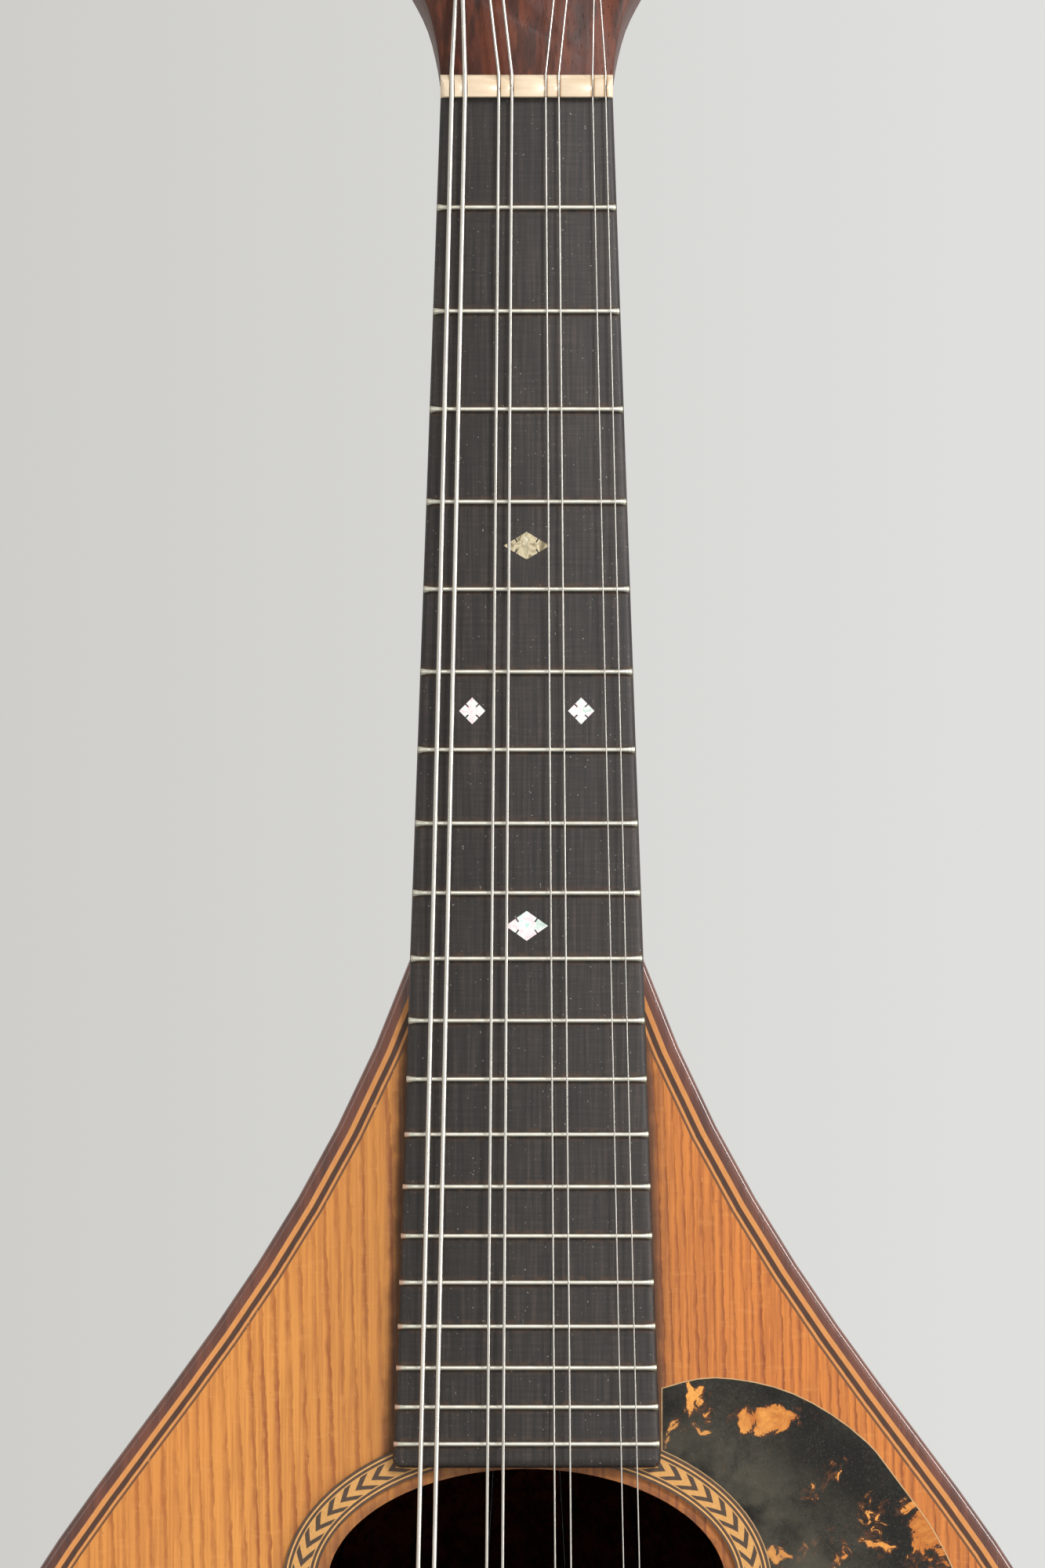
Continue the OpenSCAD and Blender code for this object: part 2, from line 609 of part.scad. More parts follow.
module tailpiece() color("silver") place() tail_frame() {
    half = tailpiece_w / 2;
    narrow = 13;
    difference() {
        union() {
            translate([0, 0, sheet_gap]) linear_extrude(sheet_t) polygon([[-half, 8 - hook_s], [half, 8 - hook_s],
                [half, -hook_s - 8], [narrow, -leaf_s - sheet_t], [-narrow, -leaf_s - sheet_t],
                [-half, -hook_s - 8]]);
            translate([-narrow, -leaf_s - sheet_t, -leaf_h]) cube([2 * narrow, sheet_t, leaf_h + sheet_gap + sheet_t]);
            for (j = [0:string_n - 1]) translate([hook_x(j), -hook_s - hook_r - 0.6, sheet_gap])
                cylinder(r = hook_r, h = hook_top);
        }
        translate([0, -leaf_s, -pin_depth]) rotate([90, 0, 0]) cylinder(r = pin_r + 0.5, h = 30, center = true);
        for (m = [-1, 1]) translate([m * leaf_screw_x, -leaf_s, leaf_screw_z]) rotate([90, 0, 0])
            cylinder(r = screw_r, h = 30, center = true);
    }
}

module cover_shape(grow) {
    half = tailpiece_w / 2 + 1 + grow;
    polygon([[-half, 14 - hook_s], [half, 14 - hook_s], [half, -hook_s - 9],
        [half - 9, -tail_s - grow], [9 - half, -tail_s - grow], [-half, -hook_s - 9]]);
}

module tailpiece_cover() color("gainsboro") place() tail_frame() difference() {
    translate([0, 0, 0.4]) linear_extrude(cover_h - 0.4) cover_shape(cover_wall);
    translate([0, 0, -1]) linear_extrude(cover_h - cover_wall + 1) cover_shape(0);
    translate([-tailpiece_w / 2 - 1, 10 - hook_s, -1]) cube([tailpiece_w + 2, 10, cover_h - cover_wall + 1]);
    translate([-tailpiece_w, -leaf_s - 5, -1]) cube([2 * tailpiece_w, leaf_s - tail_s + 6, sheet_gap + sheet_t + 1.1]);
}

module end_pin() color([0.15, 0.1, 0.08]) place() translate([0, knob_y - knob_l / 2, pin_z]) rotate([-90, 0, 0])
    rotate_extrude() union() {
        square([knob_r, knob_l]);
        translate([0, knob_l - 0.01]) square([pin_r, pin_neck + 22]);
    }

// ---- Tuners ----

module tuner_plates() color("goldenrod") place() head_frame() for (m = [0, 1]) mirror([m, 0, 0]) {
    low = post_v(0) - 4.5;
    high = post_v(post_n - 1) + screw_v + 3.2;
    difference() {
        union() {
            translate([post_x - plate_half, low, -head_t - plate_t]) cube([2 * plate_half, high - low, plate_t]);
            for (k = [0:post_n - 1], x = [lug_in, lug_out]) translate([x, post_v(k) + worm_v - lug_half, gear_w - 3])
                cube([lug_t, 2 * lug_half, -head_t - gear_w + 3 - plate_t / 2]);
        }
        for (k = [0:post_n - 1]) translate([post_x, post_v(k), -head_t - 5]) cylinder(r = post_r + run_gap, h = 10);
        for (k = [0:post_n - 1]) translate([post_x, post_v(k) + screw_v, -head_t - 5]) cylinder(r = screw_r, h = 10);
        for (k = [0:post_n - 1]) translate([0, post_v(k) + worm_v, gear_w]) rotate([0, 90, 0])
            cylinder(r = shaft_r + run_gap, h = 40);
    }
}

module screw(length) difference() {
    union() {
        cylinder(r = screw_r, h = length);
        translate([0, 0, -1.2]) cylinder(r1 = 1.7, r2 = 2.3, h = 1.2);
    }
    translate([-3, -0.25, -2]) cube([6, 0.5, 1.3]);
}

module screws() color("gold") place() {
    head_frame() at_posts() translate([0, screw_v, -head_t - plate_t]) screw(plate_t + 8);
    tail_frame() for (m = [-1, 1]) translate([m * leaf_screw_x, -leaf_s - sheet_t, leaf_screw_z])
        rotate([-90, 0, 0]) screw(sheet_t + 12);
}

module bushings() color("goldenrod") place() head_frame() at_posts() difference() {
    union() {
        translate([0, 0, -4]) cylinder(r = bush_r, h = 4 + headplate_t);
        translate([0, 0, headplate_t]) cylinder(r = bush_r + 1.4, h = bush_flange);
    }
    translate([0, 0, -5]) cylinder(r = post_r + run_gap, h = 20);
}

// Tuners 1 to 4 stand on the bass side from the nut up, 5 to 8 on the treble side
module tuner_frame(i) place() head_frame() mirror([i <= post_n ? 1 : 0, 0, 0])
    translate([post_x, post_v((i - 1) % post_n), 0]) children();

module post(i) color("silver") tuner_frame(i) {
    gear_top = gear_w + gear_t / 2;
    coil = coil_w[(i - 1) % post_n];
    rotate_extrude() polygon([[0, gear_top - gear_t - 1.1], [2.6, gear_top - gear_t - 1.1],
        [2.6, gear_top - gear_t - 0.02], [2, gear_top - gear_t - 0.02], [2, gear_top],
        [post_r, gear_top], [post_r, headplate_t + bush_flange + 0.2], [waist_r, coil - 2.7],
        [waist_r, coil + 0.7], [neck_r, coil + 1.1], [neck_r, post_top - 0.6], [neck_r - 0.6, post_top],
        [0, post_top]]);
}

module gear(i) color("goldenrod") tuner_frame(i) translate([0, 0, gear_w - gear_t / 2]) {
    steps = gear_teeth * 8;
    linear_extrude(gear_t) difference() {
        polygon([for (q = [0:steps - 1]) let (a = 360 * q / steps, r = gear_r + tooth_h * cos(gear_teeth * a))
            [r * sin(a), r * cos(a)]]);
        circle(2);
    }
}

module worm(i) color("silver") tuner_frame(i) translate([0, worm_v, gear_w]) union() {
    slices = 18;
    around = 14;
    loft([for (q = [0:slices]) let (x = worm_l * (q / slices - 0.5), fade = min(1, 4 * (0.5 - abs(q / slices - 0.5))))
        [for (k = [0:around - 1]) let (a = 360 * k / around,
            r = worm_r - 0.02 - tooth_h * cos(360 * x / thread_pitch - a) * fade - 0.1 * (1 - fade))
            [x, -r * cos(a), -r * sin(a)]]]);
    translate([lug_in - post_x - 0.4, 0, 0]) rotate([0, 90, 0]) cylinder(r = shaft_r, h = shaft_out - lug_in + 8);
}

module button(i) color("ivory") tuner_frame(i) translate([shaft_out - post_x, worm_v, gear_w]) difference() {
    intersection() {
        rotate([0, 90, 0]) rotate_extrude() polygon([[0, 0], [2.6, 0], [2.9, 2.4],
            [button_r * 0.86, button_l * 0.3], [button_r, button_l * 0.5], [button_r, button_l * 0.66],
            [button_r * 0.84, button_l * 0.9], [button_r * 0.5, button_l], [0, button_l]]);
        translate([-1, -button_r - 1, -3.1]) cube([button_l + 2, 2 * button_r + 2, 6.2]);
    }
    translate([-1, 0, 0]) rotate([0, 90, 0]) cylinder(r = shaft_r, h = 8.6);
}

module strings() color("lightgray") place() for (j = [0:string_n - 1]) {
    r = string_r(j);
    k = post_k(j);
    wind_r = waist_r + wind_gap + r;
    coil = [for (a = [0:18:360 * coil_turns]) head_pt([post_side(j) * (post_x - wind_r * cos(a)),
        post_v(k) + wind_r * sin(a), coil_w[k] - (2 * r + 0.03) * a / 360])];
    tube(concat([string_end(j), [saddle_x(j), -saddle_s, saddle_z + r],
        [nut_x(j), 0, seat_z + r], [nut_x(j), nut_l, seat_z + r - nut_fall]], coil), r);
}

// ---- Nodes ----

neck();
headstock();
headplate();
fingerboard();
nut();
frets();
inlays();
soundboard();
braces();
head_block();
tail_block();
linings();
bowl_staves();
tail_clasp();
binding();
purfling();
rosette_band();
rosette_lines();
pickguard();
bridge();
saddle();
tailpiece();
tailpiece_cover();
end_pin();
tuner_plates();
screws();
bushings();
strings();
for (i = [1:2 * post_n]) {
    post(i);
    gear(i);
    worm(i);
    button(i);
}
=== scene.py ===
import math

import bmesh
import bpy
import numpy as np
from mathutils import Matrix, Vector
from mathutils.kdtree import KDTree


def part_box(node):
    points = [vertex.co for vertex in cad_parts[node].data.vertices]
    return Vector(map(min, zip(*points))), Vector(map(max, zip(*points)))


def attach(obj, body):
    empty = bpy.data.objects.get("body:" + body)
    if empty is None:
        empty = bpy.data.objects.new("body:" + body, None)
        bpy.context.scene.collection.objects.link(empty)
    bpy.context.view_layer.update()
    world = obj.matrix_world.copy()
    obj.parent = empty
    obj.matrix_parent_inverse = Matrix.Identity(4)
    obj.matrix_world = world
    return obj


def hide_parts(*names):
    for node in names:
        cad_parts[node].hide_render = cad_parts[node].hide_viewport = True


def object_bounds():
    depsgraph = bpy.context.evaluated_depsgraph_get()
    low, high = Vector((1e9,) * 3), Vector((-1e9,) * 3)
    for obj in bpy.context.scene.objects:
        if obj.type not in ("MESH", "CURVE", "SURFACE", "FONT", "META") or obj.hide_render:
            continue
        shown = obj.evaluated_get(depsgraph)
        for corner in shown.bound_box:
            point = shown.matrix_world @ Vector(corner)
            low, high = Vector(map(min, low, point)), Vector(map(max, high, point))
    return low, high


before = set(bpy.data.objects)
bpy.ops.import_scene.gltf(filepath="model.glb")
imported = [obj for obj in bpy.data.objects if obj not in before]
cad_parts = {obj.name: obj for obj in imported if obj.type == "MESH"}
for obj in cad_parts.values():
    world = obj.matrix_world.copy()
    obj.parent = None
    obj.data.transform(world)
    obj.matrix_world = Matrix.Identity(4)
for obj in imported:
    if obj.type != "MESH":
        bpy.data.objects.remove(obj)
cad_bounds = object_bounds()

# ---- The instrument's lie ----
# It stands on its tail with the face towards -Y. at() turns a distance across, a distance down
# the strings from the nut and a height out of the top, all in millimetres, into a place.
MM = 0.001
face_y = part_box("soundboard")[0].y
nut_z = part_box("fingerboard")[1].z


def at(across, down, up):
    return Vector((across * MM, face_y - up * MM, nut_z - down * MM))


# ---- Studio ----
# A long lens looks straight at the face from 1.6 m. The main light stands high on the right
# of the lens, a tall soft one far out on the right and a weak one on the left, in a pale room.
scene = bpy.context.scene
scene.view_settings.view_transform = "Standard"

camera_data = bpy.data.cameras.new("camera")
camera_data.sensor_width = 36
camera_data.lens = 189.3
camera_data.clip_end = 30
camera = bpy.data.objects.new("camera", camera_data)
camera.location = (-0.0008, -1.6, 0.3348)
camera.rotation_euler = (math.radians(91.6), 0, 0)
scene.collection.objects.link(camera)
scene.camera = camera


def soft_light(name, place, aim, size, watts, tint=(1, 1, 1)):
    data = bpy.data.lights.new(name, "AREA")
    data.shape = "RECTANGLE"
    data.size, data.size_y = size
    data.energy = watts
    data.color = tint
    light = bpy.data.objects.new(name, data)
    light.location = place
    light.rotation_euler = (Vector(aim) - Vector(place)).to_track_quat("-Z", "Y").to_euler()
    scene.collection.objects.link(light)


soft_light("key", (1.4, -3.1, 2.05), (0, 0, 0.35), (0.82, 0.82), 84)
soft_light("side", (1.9, -0.75, 0.75), (0, 0, 0.2), (0.3, 1.6), 22)
soft_light("fill", (-1.9, -1.6, 0.7), (0, 0, 0.35), (1.2, 1.2), 4)


def paint(red, green, blue):
    """A colour as seen, 0 to 255 a channel, as the renderer's linear numbers."""
    def straight(c):
        c /= 255
        return c / 12.92 if c < 0.04045 else ((c + 0.055) / 1.055) ** 2.4
    return (straight(red), straight(green), straight(blue), 1)


class Wire:
    """A socket's output in a node tree. Arithmetic on it adds Math nodes."""

    def __init__(self, tree, socket=None):
        self.tree = tree
        self.socket = socket

    def node(self, kind, settings=None, out=0, **sockets):
        """Any node: its settings are set first, then its sockets by name or identifier."""
        made = self.tree.nodes.new(kind)
        for name, value in (settings or {}).items():
            if name == "stops":
                while len(made.color_ramp.elements) < len(value):
                    made.color_ramp.elements.new(0.5)
                for element, (position, colour) in zip(made.color_ramp.elements, value):
                    element.position = position
                    element.color = colour
            else:
                setattr(made, name, value)
        for name, value in sockets.items():
            ready = {s.identifier: s for s in made.inputs}
            socket = ready.get(name) or made.inputs[name.replace("_", " ")]
            if isinstance(value, Wire):
                self.tree.links.new(value.socket, socket)
            else:
                socket.default_value = value
        return Wire(self.tree, made.outputs[out])

    def math(self, operation, second=0.0, third=0.0):
        return self.node("ShaderNodeMath", {"operation": operation},
                         Value=self, Value_001=second, Value_002=third)

    def __add__(self, other): return self.math("ADD", other)
    def __sub__(self, other): return self.math("SUBTRACT", other)
    def __mul__(self, other): return self.math("MULTIPLY", other)
    def __truediv__(self, other): return self.math("DIVIDE", other)
    def __pow__(self, other): return self.math("POWER", other)
    def __abs__(self): return self.math("ABSOLUTE")
    def __neg__(self): return self * -1
    def __rsub__(self, other): return -self + other
    def __rtruediv__(self, other): return self ** -1 * other
    __radd__ = __add__
    __rmul__ = __mul__

    def step(self, low, high):
        """Rises smoothly from 0 at low to 1 at high."""
        return self.node("ShaderNodeMapRange", {"interpolation_type": "SMOOTHSTEP"}, Value=self,
                         From_Min=low, From_Max=high, To_Min=0.0, To_Max=1.0)

    def mix(self, low, high):
        """Blends two colours by this value."""
        return self.node("ShaderNodeMix", {"data_type": "RGBA", "clamp_factor": True}, "Result",
                         Factor_Float=self, A_Color=low, B_Color=high)

    def ramp(self, *stops):
        return self.node("ShaderNodeValToRGB", {"stops": stops}, Fac=self)

    def split(self, axis):
        return self.node("ShaderNodeSeparateXYZ", {}, axis, Vector=self)

    def stretch(self, x, y, z):
        return self.node("ShaderNodeVectorMath", {"operation": "MULTIPLY"}, Vector=self,
                         Vector_001=(x, y, z))

    def noise(self, scale, detail=3.0, roughness=0.55, out=0):
        return self.node("ShaderNodeTexNoise", {}, out, Vector=self, Scale=scale, Detail=detail,
                         Roughness=roughness)

    def bump(self, depth):
        """A normal from this height, where 1 stands for depth in metres."""
        return self.node("ShaderNodeBump", {}, Height=self, Strength=1.0, Distance=depth)


def start(name, **values):
    """A new material with its shader's constant values set, and its object coordinates."""
    made = bpy.data.materials.new(name)
    made.use_nodes = True
    shader = made.node_tree.nodes["Principled BSDF"]
    for key, value in values.items():
        shader.inputs[key.replace("_", " ")].default_value = value
    place = Wire(made.node_tree).node("ShaderNodeTexCoord", {}, "Object")
    return made, place


def feed(made, **links):
    """Links what changes over the surface into the material's shader."""
    shader = made.node_tree.nodes["Principled BSDF"]
    for key, wire in links.items():
        made.node_tree.links.new(wire.socket, shader.inputs[key.replace("_", " ")])
    return made


floor_z = cad_bounds[0][2] - 0.001
floor_shape = bmesh.new()
bmesh.ops.create_circle(floor_shape, cap_ends=True, segments=96, radius=2.0,
                        matrix=Matrix.Translation((0, 0, floor_z)))
floor_mesh = bpy.data.meshes.new("floor")
floor_shape.to_mesh(floor_mesh)
floor_object = bpy.data.objects.new("floor", floor_mesh)
scene.collection.objects.link(floor_object)
floor_paint, place = start("floor_paint", Roughness=0.95)
floor_mesh.materials.append(feed(floor_paint, Base_Color=place.noise(3, 2).ramp(
    (0.3, paint(208, 208, 205)), (0.7, paint(214, 214, 211)))))

# The room: a shade darker towards the left
world = bpy.data.worlds.new("room")
world.use_nodes = True
scene.world = world
room = Wire(world.node_tree)
room_side = room.node("ShaderNodeTexCoord", {}, "Generated").split("X").step(-0.11, 0.11)
world.node_tree.links.new(room_side.mix(paint(204, 203, 199), paint(226, 226, 224)).socket,
                          world.node_tree.nodes["Background"].inputs["Color"])


# ---- How pieces are made ----
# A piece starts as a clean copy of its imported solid, or as a new shape. Its worked edges are
# rounded, and piece() hangs it on its body and hides the solid that it stands for.
def copy_of(node, edge=0.0, steps=2, over=40.0, flat=True):
    """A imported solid's shape. Its edges over the angle over are rounded by edge millimetres."""
    shape = bmesh.new()
    shape.from_mesh(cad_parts[node].data)
    bmesh.ops.remove_doubles(shape, verts=shape.verts, dist=2e-6)
    if flat:
        bmesh.ops.dissolve_limit(shape, angle_limit=math.radians(0.6), verts=shape.verts,
                                 edges=shape.edges)
    if edge:
        corners = [e for e in shape.edges
                   if len(e.link_faces) == 2 and e.calc_face_angle(0) > math.radians(over)]
        bmesh.ops.bevel(shape, geom=corners, offset=edge * MM, segments=steps, profile=0.5,
                        affect="EDGES", clamp_overlap=True, material=-1)
    return shape


def piece(shape, name, materials, nodes=(), body="body", sharp=32.0):
    """Makes a finished shape a piece on its body. Edges over the angle sharp stay crisp."""
    mesh = bpy.data.meshes.new(name)
    shape.to_mesh(mesh)
    shape.free()
    mesh.shade_smooth()
    if sharp:
        mesh.set_sharp_from_angle(angle=math.radians(sharp))
    for material in materials if isinstance(materials, list) else [materials]:
        mesh.materials.append(material)
    made = bpy.data.objects.new(name, mesh)
    scene.collection.objects.link(made)
    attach(made, body)
    if nodes:
        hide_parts(*nodes)
    return made


def dress(node, material):
    """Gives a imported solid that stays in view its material."""
    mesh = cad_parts[node].data
    mesh.materials.clear()
    mesh.materials.append(material)


# ---- Bowl ----
# Nineteen rosewood staves, bent over a mould and glued edge to edge with a thin dark line at
# each seam. The wood is French polished: a soft gloss over fine lengthwise grain.
stave_n = 19
top_t = 2.6
bowl_depth = 148
body_half = 117
bowl_ratio = bowl_depth / body_half
bend_down = 384.2
cant_fall = math.tan(math.radians(4))


def fall_at(z):
    """How far the top has fallen back at a height below its bend behind the bridge."""
    return max(0.0, nut_z - bend_down * MM - z) * cant_fall


def rosewood(name, coat=0.35, specular=0.5):
    made, place = start(name, Coat_Weight=coat, Coat_Roughness=0.12, Specular_IOR_Level=specular)
    long_grain = place.stretch(1, 1, 0.035)
    streak = long_grain.noise(420, 4, 0.6)
    broad = place.stretch(1, 1, 0.12).noise(60, 3)
    pores = place.stretch(1, 1, 0.02).noise(2600, 2).step(0.62, 0.72)
    tone = (streak * 0.6 + broad * 0.4).ramp(
        (0.3, paint(34, 14, 11)), (0.46, paint(70, 31, 21)), (0.56, paint(98, 48, 31)),
        (0.68, paint(46, 20, 15)))
    wood = (pores * 0.6).mix(tone, paint(30, 14, 12))
    return made, place, wood, streak, pores


bowl_wood, place, wood, streak, pores = rosewood("bowl_rosewood")
below = (place.split("Y") - (face_y + top_t * MM)
         - ((nut_z - bend_down * MM) - place.split("Z")).math("MAXIMUM", 0.0) * cant_fall)
turn = (below / bowl_ratio).math("ARCTAN2", place.split("X")) * (stave_n / math.pi)
seam = abs(turn - turn.math("ROUND"))
across = ((below / bowl_ratio) ** 2 + place.split("X") ** 2) ** 0.5 * (math.pi / stave_n)
line = 1 - (seam * across).step(0.00022, 0.00034)
shade = turn.node("ShaderNodeTexWhiteNoise", {"noise_dimensions": "1D"}, "Value",
                  W=turn.math("FLOOR"))
stave_wood = (shade * 0.35).mix(wood, paint(38, 18, 15))
feed(bowl_wood, Base_Color=line.mix(stave_wood, paint(24, 13, 11)),
     Roughness=streak * 0.14 + 0.16, Normal=(1 - line * 0.6 - pores * 0.25).bump(0.00012))
bowl = copy_of("bowl_staves", flat=False)
stave_of = {}
for v in bowl.verts:
    deep = v.co.y - face_y - top_t * MM - fall_at(v.co.z)
    stave_of[v] = math.atan2(deep / bowl_ratio, v.co.x) * stave_n / math.pi
for e in bowl.edges:
    ends = [stave_of[v] for v in e.verts]
    square = e.calc_face_angle(0) > math.radians(40)
    e.smooth = not (square or abs(ends[0] - ends[1]) < 0.25)
for f in bowl.faces:
    f.smooth = True
piece(bowl, "bowl", bowl_wood, ["bowl_staves"], sharp=None)

clasp_wood, place, wood, streak, pores = rosewood("clasp_rosewood")
feed(clasp_wood, Base_Color=wood, Roughness=streak * 0.14 + 0.16,
     Normal=(1 - pores * 0.3).bump(0.0001))
piece(copy_of("tail_clasp", 0.5), "tail_clasp_cap", clasp_wood, ["tail_clasp"])

# ---- Inside the body ----
# Braces, end blocks and linings of bare spruce, sawn and glued, never varnished and a little
# dusty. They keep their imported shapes.
bare_spruce, place = start("bare_spruce", Roughness=0.75)
rings = (place.stretch(1, 1, 0.05).noise(500, 3) + place.stretch(1, 1, 0.1).noise(90, 2)) * 0.5
feed(bare_spruce, Base_Color=rings.ramp((0.35, paint(150, 112, 70)), (0.65, paint(196, 158, 108))),
     Normal=rings.bump(0.0002))
for node in ("braces", "head_block", "tail_block", "linings"):
    dress(node, bare_spruce)

# ---- Soundboard ----
# Quarter-sawn spruce, two halves glued on the centre line, aged to amber under a thin varnish.
# The rings are wide on the bass side and close on the treble side, with small cross rays.
spruce, place = start("spruce_top", Coat_Weight=0.12, Coat_Roughness=0.3)
x, z = place.split("X"), place.split("Z")
wander = (place.stretch(1, 1, 0.12).noise(26, 2) - 0.5) * 0.0045 \
    + (place.stretch(1, 1, 0.04).noise(150, 2) - 0.5) * 0.0026 \
    + (place.stretch(1, 1, 0.6).noise(640, 2) - 0.5) * 0.0009
side = x.step(-0.03, 0.05)
leaning = x + z * 0.04 + wander
ring_at = leaning / 0.0025 + leaning.math("MAXIMUM", 0.01) / 0.006
late = ring_at.math("FRACT")
ring_line = late.step(0.42, 0.86) * (1 - late.step(0.9, 1.0))
ring_strength = place.stretch(1, 0.01, 0.02).noise(330, 2).step(0.3, 0.72) * 0.6 \
    + place.stretch(1, 1, 0.16).noise(1100, 2).step(0.3, 0.7) * 0.4
fibre = place.stretch(1, 1, 0.025).noise(1900, 3)
rays = place.stretch(0.25, 1, 1).noise(900, 2).step(0.56, 0.74)
glow = place.stretch(1, 1, 0.4).noise(22, 2)
pale = side.mix(paint(206, 136, 58), paint(204, 122, 46))
deep_tone = side.mix(paint(136, 66, 18), paint(108, 44, 10))
wood = (ring_line * ring_strength).mix(pale, deep_tone)
wood = (fibre.step(0.35, 0.7) * 0.4).mix(wood, deep_tone)
wood = (glow.step(0.35, 0.7) * 0.25).mix(wood, side.mix(paint(186, 108, 40), paint(168, 84, 28)))
wood = (rays * 0.16).mix(wood, paint(214, 148, 74))
# Grime gathers round the sound hole. Beside the fingerboard the darkening is grime together with
# the board's painted shadow, and a darker painted shadow strip lies along its foot
board_half_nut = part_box("nut")[1].x
board_half_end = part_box("fingerboard")[1].x
board_end_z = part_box("fingerboard")[0].z
board_taper = (board_half_end - board_half_nut) / (nut_z - board_end_z)
board_half = (nut_z - z) * board_taper + board_half_nut
# Painted shade and grime in a strip beside the fingerboard: it stands in for the board's cast
# shadow as well as dirt
board_side_grime_and_shadow = 1 - (abs(x) - board_half).step(0.0004, 0.0042)
along_board = z.step(board_end_z - 0.006, board_end_z + 0.004)
hole_low, hole_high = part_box("rosette_lines")
hole_z = (hole_low.z + hole_high.z) / 2
hole_half = Vector((38.1, 22.3)) * MM
hole_far = ((x / hole_half.x) ** 2 + ((z - hole_z) / hole_half.y) ** 2) ** 0.5
hole_rim = 1 - hole_far.step(1.0, 1.1)
dirt_noise = place.noise(210, 4)
# This mask holds the grime round the sound hole and the painted shadow beside the board
grime_and_board_shadow = (board_side_grime_and_shadow * along_board * 0.75).math("MAXIMUM", hole_rim * 0.85) * dirt_noise.step(0.2, 0.62)
wood = (grime_and_board_shadow * 0.85).mix(wood, paint(92, 48, 22))
# Painted shadow: a dark strip where the fingerboard meets the top, standing in for the shadow the
# board casts
board_foot_shadow = (1 - (abs(x) - board_half).step(0.0002, 0.0016)) * along_board
wood = (board_foot_shadow * 0.7).mix(wood, paint(52, 30, 18))
specks = place.noise(650, 2).step(0.69, 0.76)
wood = (specks * 0.35).mix(wood, paint(110, 62, 34))
feed(spruce, Base_Color=wood, Roughness=0.5 - late * 0.12 + grime_and_board_shadow * 0.25,
     Normal=(ring_line * -0.4 + fibre * 0.5 + rays * 0.2).bump(0.00008))
dress("soundboard", spruce)

# ---- Binding and purfling ----
# A strip of rosewood rounded over the top's edge, and inside it a ribbon of thin glued veneers:
# a wide light one, a wide dark one, then a hair-thin light and a hair-thin dark one.
binding_wood, place, wood, streak, pores = rosewood("binding_rosewood", 1.0)
feed(binding_wood, Base_Color=(streak * 0.6).mix(wood, paint(112, 60, 34)),
     Roughness=streak * 0.12 + 0.14, Normal=(1 - pores * 0.3).bump(0.00008))
binding_round = 1.5
clear_of_ribbon = 0.0015
reach = 0.0007


def spots_of(shape):
    """A shape's corners, ready to be asked for the nearest one."""
    spots = KDTree(len(shape.verts))
    for v in shape.verts:
        spots.insert(v.co, v.index)
    spots.balance()
    return spots


binding = copy_of("binding", flat=False)
binding_spots = spots_of(binding)
bmesh.ops.dissolve_limit(binding, angle_limit=math.radians(0.6), verts=binding.verts,
                         edges=binding.edges)
ribbon = copy_of("purfling", flat=False)
ribbon_spots = spots_of(ribbon)
rim_edges = [e for e in binding.edges if len(e.link_faces) == 2
             and e.calc_face_angle(0) > math.radians(60)
             and all(v.co.y < face_y + 0.0004 + fall_at(v.co.z)
                     and ribbon_spots.find(v.co)[2] > clear_of_ribbon for v in e.verts)]
bmesh.ops.bevel(binding, geom=rim_edges, offset=binding_round * MM, segments=5, profile=0.5,
                affect="EDGES", clamp_overlap=True, material=-1)
piece(binding, "edge_binding", binding_wood, ["binding"])

spread = ribbon.verts.layers.float.new("across")
for v in ribbon.verts:
    v[spread] = 0.0 if binding_spots.find(v.co)[2] < reach else 1.0
ribbon_wood, place = start("purfling_veneers", Roughness=0.42)
across = place.node("ShaderNodeAttribute", {"attribute_name": "across"}, "Fac")
fine = place.stretch(1, 1, 0.3).noise(700, 3)
across = across + (fine - 0.5) * 0.05
chip = place.noise(380, 3)
light_veneer = fine.mix(paint(184, 116, 58), paint(208, 142, 78))
dark_veneer = fine.mix(paint(50, 28, 16), paint(84, 48, 28))
broad_dark = across.step(0.31, 0.35) - across.step(0.66, 0.70)
thin_dark = across.step(0.83, 0.87) * chip.step(0.26, 0.34)
feed(ribbon_wood, Base_Color=(broad_dark + thin_dark * 0.85).mix(light_veneer, dark_veneer),
     Normal=fine.bump(0.00006))
piece(ribbon, "purfling_ribbon", ribbon_wood, ["purfling"])

# ---- Rosette ----
# Rings let into the top round the oval hole: fine dark and light lines each side of a band of
# chevrons, sawn from a block of alternate dark and light wood, that point away from the board.
# rosette_edges are where the rings begin and end, outwards from the edge of the hole.
inlay_proud = 0.02
rosette_t = 1.1
rosette_edges = (2.2, 3.55, 7.15, 8.5)
chevron_l = 3.65


